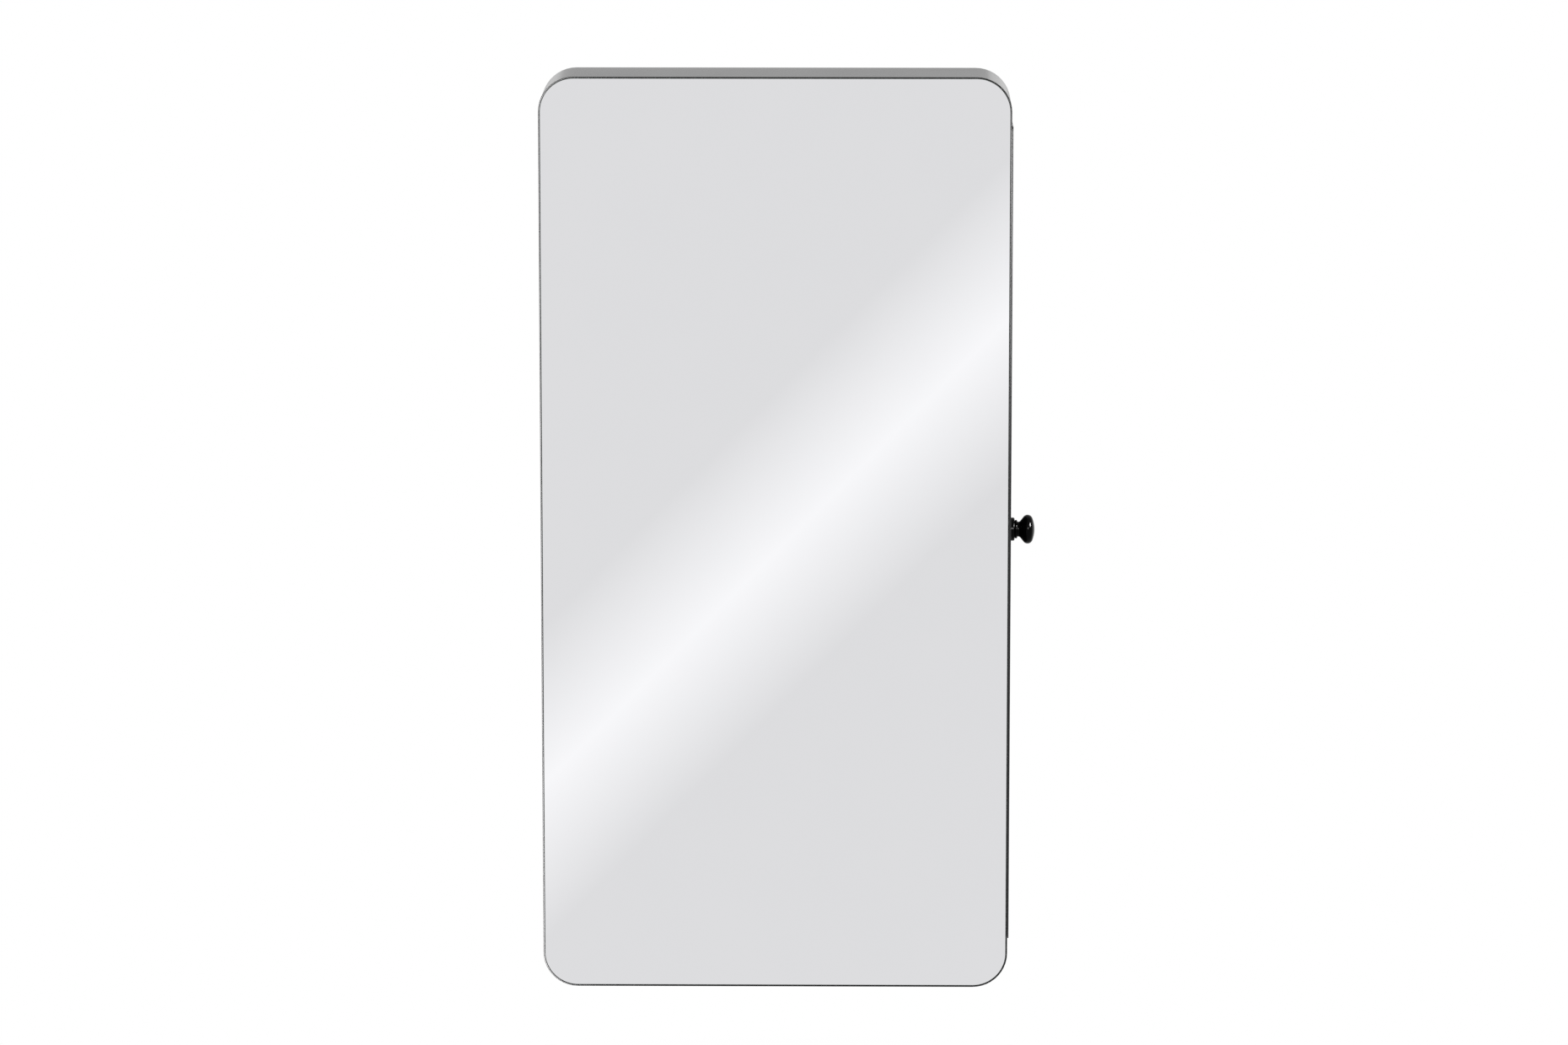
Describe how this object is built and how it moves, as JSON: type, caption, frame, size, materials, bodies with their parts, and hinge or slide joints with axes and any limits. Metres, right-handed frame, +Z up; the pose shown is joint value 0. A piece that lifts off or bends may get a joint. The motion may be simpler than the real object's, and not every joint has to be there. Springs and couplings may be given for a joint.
{
  "type": "mirrored wall cabinet",
  "caption": "Tall round-cornered wall mirror in a deep black steel band, with a hidden shelf rack that slides out sideways by a round knob on the long side panel.",
  "frame": {"origin": "middle of the wall plane, at the centre of the rectangle of four hanging keyholes in the back panel", "axes": "+X towards the side panel and its knob, +Y into the wall, so the mirror faces -Y, and +Z up"},
  "size_m": [0.536, 0.09, 1.002],
  "materials": {
    "band_coat": "satin black powder coat on bent steel sheet",
    "rack_coat": "fine matt black powder coat on folded steel sheet",
    "mirror": "silvered float glass with a polished edge",
    "foam_tape": "white double-sided foam tape",
    "zinc_steel": "bright zinc plate on rolled steel",
    "bright_steel": "polished steel",
    "knob_enamel": "gloss black enamel on a turned knob",
    "catch_plastic": "moulded white nylon",
    "magnet": "dark grey ferrite",
    "buffer_rubber": "matt black rubber"
  },
  "bodies": {
    "cabinet": {"frame_band": "band_coat", "mirror_plate": "band_coat", "mirror_glass": "mirror", "mirror_tape": "foam_tape", "back_panel": "band_coat", "back_tabs": "band_coat", "back_screws": "band_coat", "keyhole_plates": "zinc_steel", "upper_carrier": "band_coat", "lower_carrier": "band_coat", "upper_slide_outer": "zinc_steel", "lower_slide_outer": "zinc_steel", "slide_screws": "zinc_steel", "slide_nuts": "zinc_steel", "catch_plate": "zinc_steel", "catch_housing": "catch_plastic", "catch_magnet": "magnet", "catch_poles": "zinc_steel", "catch_screws": "zinc_steel", "stop_buffers": "buffer_rubber"},
    "slide_middles": {"upper_slide_middle": "zinc_steel", "lower_slide_middle": "zinc_steel"},
    "outer_cages": {"outer_ball_cages": "zinc_steel", "outer_balls": "bright_steel"},
    "inner_cages": {"inner_ball_cages": "zinc_steel", "inner_balls": "bright_steel"},
    "rack": {"side_panel": "band_coat", "panel_studs": "zinc_steel", "panel_nuts": "zinc_steel", "knob": "knob_enamel", "knob_screw": "zinc_steel", "front_upright": "rack_coat", "rear_upright": "rack_coat", "top_tray": "rack_coat", "bottom_tray": "rack_coat", "shelf_1": "rack_coat", "shelf_2": "rack_coat", "shelf_3": "rack_coat", "shelf_4": "rack_coat", "guard_rods": "bright_steel", "upper_slide_inner": "zinc_steel", "lower_slide_inner": "zinc_steel", "slide_rivets": "zinc_steel", "strike_plate": "zinc_steel", "strike_rivets": "zinc_steel"}
  },
  "joints": [
    {"name": "rack_slide", "type": "slide", "parent": "cabinet", "child": "rack", "axis": [1, 0, 0], "range_m": [0, 0.4]},
    {"name": "middle_slide", "type": "slide", "parent": "cabinet", "child": "slide_middles", "axis": [1, 0, 0], "range_m": [0, 0.2]},
    {"name": "outer_cage_slide", "type": "slide", "parent": "cabinet", "child": "outer_cages", "axis": [1, 0, 0], "range_m": [0, 0.1]},
    {"name": "inner_cage_slide", "type": "slide", "parent": "cabinet", "child": "inner_cages", "axis": [1, 0, 0], "range_m": [0, 0.3]}
  ],
  "couplings": [
    {"joint": "middle_slide", "follows": "rack_slide", "ratio": 0.5},
    {"joint": "outer_cage_slide", "follows": "rack_slide", "ratio": 0.25},
    {"joint": "inner_cage_slide", "follows": "rack_slide", "ratio": 0.75}
  ]
}
